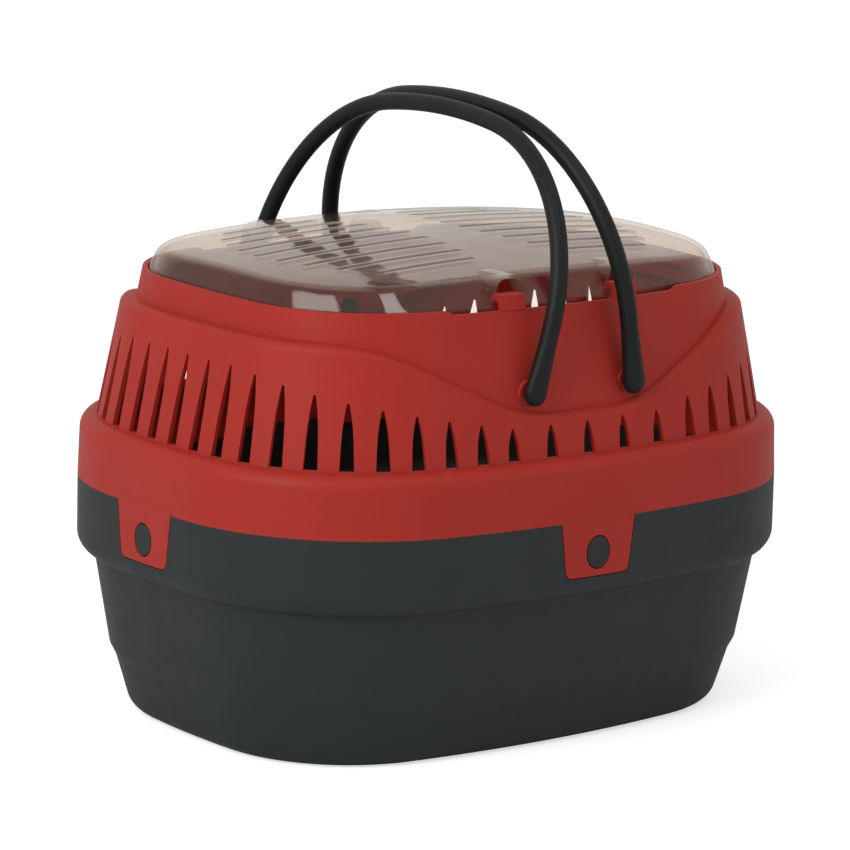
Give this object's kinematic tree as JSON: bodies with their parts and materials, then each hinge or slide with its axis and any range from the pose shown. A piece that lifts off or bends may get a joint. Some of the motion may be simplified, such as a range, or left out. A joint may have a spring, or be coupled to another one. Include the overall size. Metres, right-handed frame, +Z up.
{
  "type": "small animal carrier",
  "caption": "Small animal carrier: flared tub, clipped-on cover with slotted wall and wave crest, clear vented lid on lugs, and folding hoop handles.",
  "frame": {"origin": "middle of the tub's flat base", "axes": "+X along the length, +Y towards the lid's hinge side, +Z up; the long side seen in the picture faces -Y"},
  "size_m": [0.3, 0.236, 0.2689],
  "materials": {
    "tub_plastic": "satin",
    "cover_plastic": "satin",
    "lid_plastic": "glossy clear",
    "handle_plastic": "satin"
  },
  "bodies": {
    "carrier": {"tub": "tub_plastic", "cover": "cover_plastic"},
    "lid": {"lid": "lid_plastic"},
    "left_handle": {"left_handle": "handle_plastic"},
    "right_handle": {"right_handle": "handle_plastic"}
  },
  "joints": [
    {"name": "left_handle_pivot", "type": "hinge", "parent": "carrier", "child": "left_handle", "pos_m": [-0.0265, 0, 0.157], "axis": [0, -1, 0], "range_deg": [0, 88]},
    {"name": "right_handle_pivot", "type": "hinge", "parent": "carrier", "child": "right_handle", "pos_m": [0.0265, 0, 0.157], "axis": [0, 1, 0], "range_deg": [0, 81]},
    {"name": "lid_hinge", "type": "hinge", "parent": "carrier", "child": "lid", "pos_m": [0, 0.08861, 0.1958], "axis": [-1, 0, 0], "range_deg": [0, 6]}
  ]
}
